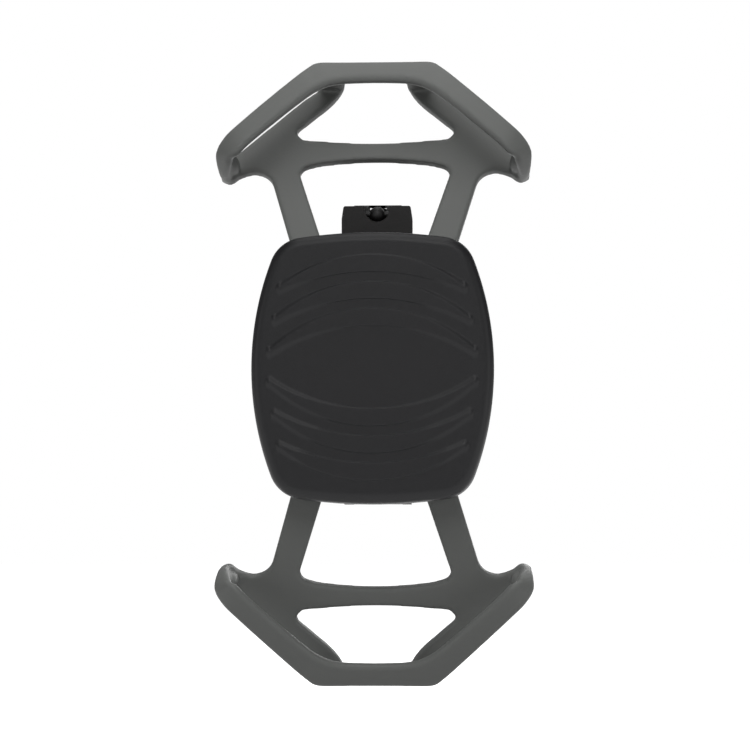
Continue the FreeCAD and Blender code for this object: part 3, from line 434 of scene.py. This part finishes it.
def head_ring(inset, depth):
    """A ring round the head's outline, drawn in by inset, at that depth forward of the bar."""
    side_radius, end_radius = HEAD_SIDE_RADIUS - inset, HEAD_END_RADIUS - inset
    corner_radius = max(HEAD_CORNER_RADIUS - inset, 1.0)
    side = Vector((HEAD_HALF_WIDTH - HEAD_SIDE_RADIUS, 0))
    end = Vector((0, HEAD_HALF_HEIGHT - HEAD_END_RADIUS))
    first, second = side_radius - corner_radius, end_radius - corner_radius
    apart = end - side
    along = (first**2 - second**2 + apart.length_squared) / (2 * apart.length)
    aside = math.sqrt(first**2 - along**2)
    ahead = apart.normalized()
    foot, across = side + ahead * along, Vector((-ahead.y, ahead.x)) * aside
    corner = max((foot + across, foot - across), key=lambda p: p.x + p.y)
    side_end = math.atan2((corner - side).y, (corner - side).x)
    end_start = math.atan2((corner - end).y, (corner - end).x)

    def sweep(centre, radius, start, stop, count):
        return [centre + Vector((math.cos(a), math.sin(a))) * radius
                for a in (start + (stop - start) * i / count for i in range(count))]

    quarter = (sweep(side, side_radius, 0, side_end, SIDE_STEPS)
               + sweep(corner, corner_radius, side_end, end_start, CORNER_STEPS)
               + sweep(end, end_radius, end_start, math.pi / 2, END_STEPS))
    top_point = Vector((0, end.y + end_radius))
    half = quarter + [top_point] + [Vector((-p.x, p.y)) for p in reversed(quarter[1:])]
    ring = half + [Vector((-quarter[0].x, 0))] + [Vector((p.x, -p.y)) for p in reversed(half[1:])]
    return [Vector((p.x, -depth, p.y)) for p in ring]


def make_cover():
    """The front shell: a straight side and the plateau that the pad caps."""
    mesh = bmesh.new()
    rings = [[p * MM for p in head_ring(inset, depth)] for inset, depth in COVER_PROFILE]
    add_loft(mesh, rings, closed_ends=False)
    cover = new_object("front_cover_shell", mesh)
    finish_piece(cover, "head_plastic")
    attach(cover, "head")
    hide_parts("front_cover")


BANDS = 3  # above the pad's middle, and as many below it
BAND_TOP, BAND_TOP_STEP = 28.5, 6.8
BAND_TIP_ACROSS, BAND_TIP_ACROSS_STEP = 23.0, 1.3
BAND_TIP_UP, BAND_TIP_UP_STEP = 19.9, 8.05
BAND_THICKNESS, BAND_TIP_RADIUS = 4.5, 1.15
BAND_PROUD = 0.5
BAND_EDGE_INSIDE, BAND_EDGE_OUTSIDE = -0.21, 0.10
BAND_TIP_SOFTNESS = 1.6


def crescent_distance(x, z, index):
    """Signed distance to one raised band, negative inside it; z counts away from the middle."""
    top = BAND_TOP - BAND_TOP_STEP * index
    tip_x = BAND_TIP_ACROSS + BAND_TIP_ACROSS_STEP * index
    tip_z = BAND_TIP_UP - BAND_TIP_UP_STEP * index

    def arc_edge(middle, end):
        drop = middle - end
        radius = (tip_x**2 + drop**2) / (2 * drop)
        return math.hypot(x, z - (middle - radius)) - radius

    if abs(x) > tip_x:
        return math.hypot(abs(x) - tip_x, z - tip_z) - BAND_TIP_RADIUS
    return max(arc_edge(top, tip_z + BAND_TIP_RADIUS),
               -arc_edge(top - BAND_THICKNESS, tip_z - BAND_TIP_RADIUS))


def band_height(x, z):
    """How far the bands stand proud at a point; their edges roll softer toward the tips."""
    nearest = min(crescent_distance(x, abs(z), index) for index in range(BANDS))
    softness = 1 + BAND_TIP_SOFTNESS * smoothstep(12, 22, abs(x))
    return BAND_PROUD * (1 - smoothstep(BAND_EDGE_INSIDE * softness,
                                        BAND_EDGE_OUTSIDE * softness, nearest))


PAD_FRONT = 38.9
PAD_EDGE_ROUND = 2.6
PAD_SKIRT = ((1.2, 37.3), (1.2, 35.62), (0.25, 35.6), (0.06, 35.7))  # (inset, depth) steps
PAD_FACE_RINGS = 230


def make_pad():
    """The grip pad: an elastomer cap over the whole front, with six raised crescents."""
    mesh = bmesh.new()
    profile = list(PAD_SKIRT)
    for angle in range(0, 90, 6):
        turn = math.radians(angle)
        profile.append((PAD_EDGE_ROUND * (1 - math.cos(turn)),
                        PAD_FRONT - PAD_EDGE_ROUND * (1 - math.sin(turn))))
    rings = [head_ring(inset, depth) for inset, depth in profile]
    border = head_ring(PAD_EDGE_ROUND, PAD_FRONT)
    for step in range(PAD_FACE_RINGS):
        share = 1 - step / PAD_FACE_RINGS
        places = [(p.x * share, p.z * share) for p in border]
        rings.append([Vector((x, -PAD_FRONT - band_height(x, z), z)) for x, z in places])
    made = [[mesh.verts.new(p * MM) for p in ring] for ring in rings]
    centre = mesh.verts.new(Vector((0, -PAD_FRONT, 0)) * MM)
    for first, second in zip(made, made[1:]):
        for i in range(len(first)):
            j = (i + 1) % len(first)
            mesh.faces.new([first[i], first[j], second[j], second[i]])
    for i in range(len(made[-1])):
        mesh.faces.new([made[-1][i], made[-1][(i + 1) % len(made[-1])], centre])
    mesh.faces.new(list(reversed(made[0])))
    pad = new_object("grip_pad_face", mesh)
    finish_piece(pad, "pad_elastomer")
    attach(pad, "head")
    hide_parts("grip_pad")


# ------------------------------------------------------------------ clamp details

BOLT_RADIUS, THREAD_PITCH, THREAD_DEPTH = 2.0, 0.7, 0.38
BOLT_CLEARANCE = 0.01
BOLT_AROUND, STEPS_PER_TURN = 36, 12
PIVOT_PIN_RADIUS = 0.75
EYE_RADIUS = 2.05
NECK_RADIUS, NECK_START = 1.75, 1.7  # the start counts from the pivot, like the thread's
THREAD_START = 3.2
TIP_RINGS = ((0.12, 1.35), (0.0, 1.1))  # distance before the end, and radius


def thread_radius(y, angle, end_y):
    """The thread's radius at a place along the bolt and round it."""
    phase = (y / THREAD_PITCH - angle / TURN) % 1.0
    crest = 1 - abs(2 * phase - 1)
    cut = THREAD_DEPTH * (1 - smoothstep(0.1, 0.85, crest))
    fade = smoothstep(0, 1.2, end_y - 0.4 - y) * 0.75 + 0.25
    return (BOLT_RADIUS - BOLT_CLEARANCE - cut) * (0.94 + 0.06 * fade)


def make_bolt():
    """The swing bolt with its ball eye and a real helical thread."""
    low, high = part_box("swing_bolt")
    axis_z = ((low + high) / 2).z / MM
    pivot_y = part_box("bolt_pivot_pin")[0].y / MM + PIVOT_PIN_RADIUS
    end_y = high.y / MM
    angles = [TURN * i / BOLT_AROUND for i in range(BOLT_AROUND)]

    def ring_at(y, radii):
        return [Vector((r * math.cos(a), y, axis_z + r * math.sin(a))) * MM
                for r, a in zip(radii, angles)]

    def round_ring(y, radius):
        return ring_at(y, [radius] * BOLT_AROUND)

    rings = []
    for degrees in range(-76, 45, 12):
        angle = math.radians(degrees)
        rings.append(round_ring(pivot_y + EYE_RADIUS * math.sin(angle),
                                EYE_RADIUS * math.cos(angle)))
    start = pivot_y + THREAD_START
    rings.append(round_ring(pivot_y + NECK_START, NECK_RADIUS))
    rings.append(round_ring(start - 0.3, NECK_RADIUS))
    count = int((end_y - 0.5 - start) / THREAD_PITCH * STEPS_PER_TURN)
    for i in range(count + 1):
        y = start + i * THREAD_PITCH / STEPS_PER_TURN
        rings.append(ring_at(y, [thread_radius(y, a, end_y) for a in angles]))
    rings += [round_ring(end_y - before, radius) for before, radius in TIP_RINGS]
    mesh = bmesh.new()
    add_loft(mesh, rings)
    bolt = new_object("threaded_swing_bolt", mesh)
    finish_piece(bolt, "black_steel")
    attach(bolt, "bolt")
    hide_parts("swing_bolt")


BAR_RADIUS, LINER_OUTER, RIB_HEIGHT = 15.9, 17.48, 0.28
RIBS, STEPS_PER_RIB = 30, 8


def make_liner(node, body, start_deg, end_deg):
    """A rubber lining whose inner face is ribbed along the bar."""
    low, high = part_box(node)
    half_width = (high.x - low.x) / 2 / MM
    steps = RIBS * STEPS_PER_RIB
    mesh = bmesh.new()
    rings = []
    for i in range(steps + 1):
        share = i / steps
        angle = math.radians(start_deg + (end_deg - start_deg) * share)
        wave = 0.5 - 0.5 * math.cos(TURN * share * RIBS)
        radius = BAR_RADIUS + RIB_HEIGHT * smoothstep(0.45, 0.8, wave)
        y, z = math.cos(angle), math.sin(angle)
        rings.append([Vector((x, r * y, r * z)) * MM
                      for x, r in ((-half_width, radius), (half_width, radius),
                                   (half_width, LINER_OUTER), (-half_width, LINER_OUTER))])
    add_loft(mesh, rings)
    liner = new_object(f"{node}_ribbed", mesh, smooth=False)
    finish_piece(liner, "liner_rubber")
    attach(liner, body)
    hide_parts(node)


# ------------------------------------------------------------------ stage, light and camera

WORLD_LIGHT = 0.22
FLOOR_SIZE = 40
FLOOR_GAP = 0.0006
FLOOR_GLOW = 0.97
LOWER_ARM_DROP = 0.0168  # how far the lower end bar sinks when its arm is pulled out
LAMPS = (  # name, place, aim, size and power in watts
    ("key_high", (0.0, -0.40, 0.95), (0, -0.03, 0), 0.6, 2.6),
    ("key_front", (0.0, -0.85, 0.55), (0, -0.03, 0), 0.5, 3.9),
    ("fill_left", (-0.85, -0.55, 0.15), (0, -0.03, 0), 0.5, 1.2),
    ("fill_right", (0.85, -0.55, 0.15), (0, -0.03, 0), 0.5, 1.5),
    ("top", (0.0, 0.15, 1.0), (0, -0.03, 0), 0.6, 2.6),
    ("back", (0.25, 0.9, 0.35), (0, 0, 0), 0.5, 2.5))


def make_stage():
    """A white floor under the mount, a white surround, and soft lights above and all round."""
    floor_z = cad_low.z - LOWER_ARM_DROP - FLOOR_GAP
    bpy.ops.mesh.primitive_plane_add(size=FLOOR_SIZE, location=(0, 0, floor_z))
    floor = bpy.context.object
    floor.name = "floor"
    pale = material("floor_white", (0.9, 0.9, 0.9), 0.9, 0.1)
    shader = pale.node_tree.nodes["Principled BSDF"]
    shader.inputs["Emission Color"].default_value = WHITE
    shader.inputs["Emission Strength"].default_value = FLOOR_GLOW
    floor.data.materials.append(pale)
    floor.visible_diffuse = False

    world = bpy.data.worlds.new("studio")
    bpy.context.scene.world = world
    world.use_nodes = True
    nodes, links = world.node_tree.nodes, world.node_tree.links
    seen = nodes["Background"]
    seen.inputs["Strength"].default_value = 1.0
    lighting = nodes.new("ShaderNodeBackground")
    lighting.inputs["Strength"].default_value = WORLD_LIGHT
    for background in (seen, lighting):
        background.inputs["Color"].default_value = WHITE
    path, choose = nodes.new("ShaderNodeLightPath"), nodes.new("ShaderNodeMixShader")
    links.new(path.outputs["Is Camera Ray"], choose.inputs[0])
    links.new(lighting.outputs[0], choose.inputs[1])
    links.new(seen.outputs[0], choose.inputs[2])
    links.new(choose.outputs[0], nodes["World Output"].inputs["Surface"])

    for name, place, aim, size, power in LAMPS:
        lamp = bpy.data.lights.new(name, "AREA")
        lamp.size = size
        lamp.energy = power
        holder = bpy.data.objects.new(name, lamp)
        holder.location = place
        holder.rotation_euler = (Vector(aim) - Vector(place)).to_track_quat("-Z", "Y").to_euler()
        bpy.context.scene.collection.objects.link(holder)


CAMERA_DISTANCE = 0.635
CAMERA_AZIMUTH = math.radians(2.46)
CAMERA_ELEVATION = math.radians(-4.33)
CAMERA_ROLL = math.radians(-0.05)
CAMERA_LENS, CAMERA_SENSOR = 120.8, 36  # millimetres
CAMERA_CLIP = 0.01
PAD_MIDDLE = Vector((0, -0.035, 0))
AIM_OFFSET = Vector((0.00058, 0, -0.00177))


def make_camera():
    """A long lens a little to the right of the mount and below it, looking slightly up."""
    level = math.cos(CAMERA_ELEVATION)
    back = Vector((math.sin(CAMERA_AZIMUTH) * level, -math.cos(CAMERA_AZIMUTH) * level,
                   math.sin(CAMERA_ELEVATION)))
    place = PAD_MIDDLE + back * CAMERA_DISTANCE
    aim = PAD_MIDDLE + AIM_OFFSET
    data = bpy.data.cameras.new("camera")
    data.lens = CAMERA_LENS
    data.sensor_width = CAMERA_SENSOR
    data.clip_start = CAMERA_CLIP
    camera = bpy.data.objects.new("camera", data)
    turn = (aim - place).to_track_quat("-Z", "Y").to_matrix()
    camera.rotation_euler = (turn @ Matrix.Rotation(CAMERA_ROLL, 3, "Z")).to_euler()
    camera.location = place
    bpy.context.scene.collection.objects.link(camera)
    bpy.context.scene.camera = camera


bpy.context.scene.view_settings.view_transform = "Standard"
make_camera()
dress_cad_nodes()
make_arm("upper", 1)
make_arm("lower", -1)
make_cover()
make_pad()
make_bolt()
make_liner("saddle_liner", "clamp", 100, 260)
make_liner("strap_liner", "strap", -80, 80)
make_stage()
